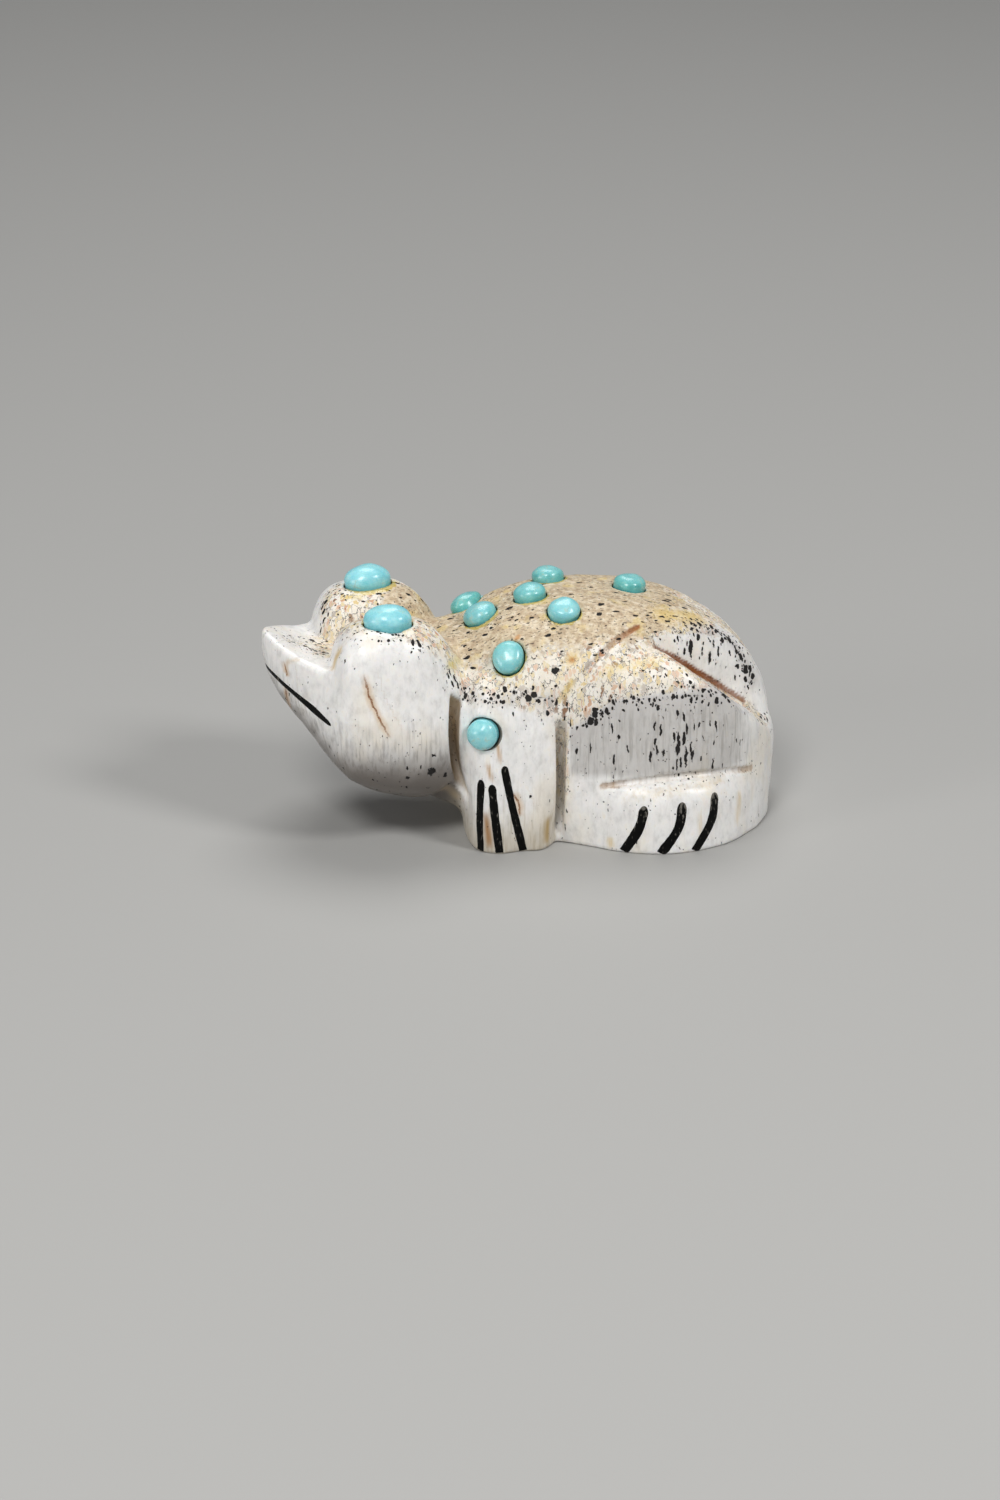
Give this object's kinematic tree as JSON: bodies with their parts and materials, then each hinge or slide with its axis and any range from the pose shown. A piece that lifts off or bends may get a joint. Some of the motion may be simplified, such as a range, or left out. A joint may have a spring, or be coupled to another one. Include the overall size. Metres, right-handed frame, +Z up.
{
  "type": "frog fetish carving",
  "caption": "Small frog carved from one piece of antler, with domed turquoise eyes and back spots set into drilled seats, and black inlaid mouth and toe lines. It stands on its flat underside.",
  "frame": {"origin": "middle of the part's bounding box, on the plane of its flat underside", "axes": "+X from the nose to the rump, +Y towards the frog's right side, +Z up"},
  "size_m": [0.0622, 0.0364, 0.0303],
  "materials": {
    "antler": "satin",
    "turquoise": "polished",
    "black_inlay": "polished"
  },
  "bodies": {
    "root": {"antler_body": "antler", "left_eye": "turquoise", "right_eye": "turquoise", "back_spot_1": "turquoise", "back_spot_2": "turquoise", "back_spot_3": "turquoise", "back_spot_4": "turquoise", "back_spot_5": "turquoise", "back_spot_6": "turquoise", "back_spot_7": "turquoise", "back_spot_8": "turquoise", "left_leg_spot": "turquoise", "right_leg_spot": "turquoise", "mouth_line": "black_inlay", "left_front_toe_line_1": "black_inlay", "left_front_toe_line_2": "black_inlay", "left_front_toe_line_3": "black_inlay", "left_hind_toe_line_1": "black_inlay", "left_hind_toe_line_2": "black_inlay", "left_hind_toe_line_3": "black_inlay", "right_front_toe_line_1": "black_inlay", "right_front_toe_line_2": "black_inlay", "right_front_toe_line_3": "black_inlay", "right_hind_toe_line_1": "black_inlay", "right_hind_toe_line_2": "black_inlay", "right_hind_toe_line_3": "black_inlay"}
  },
  "joints": []
}
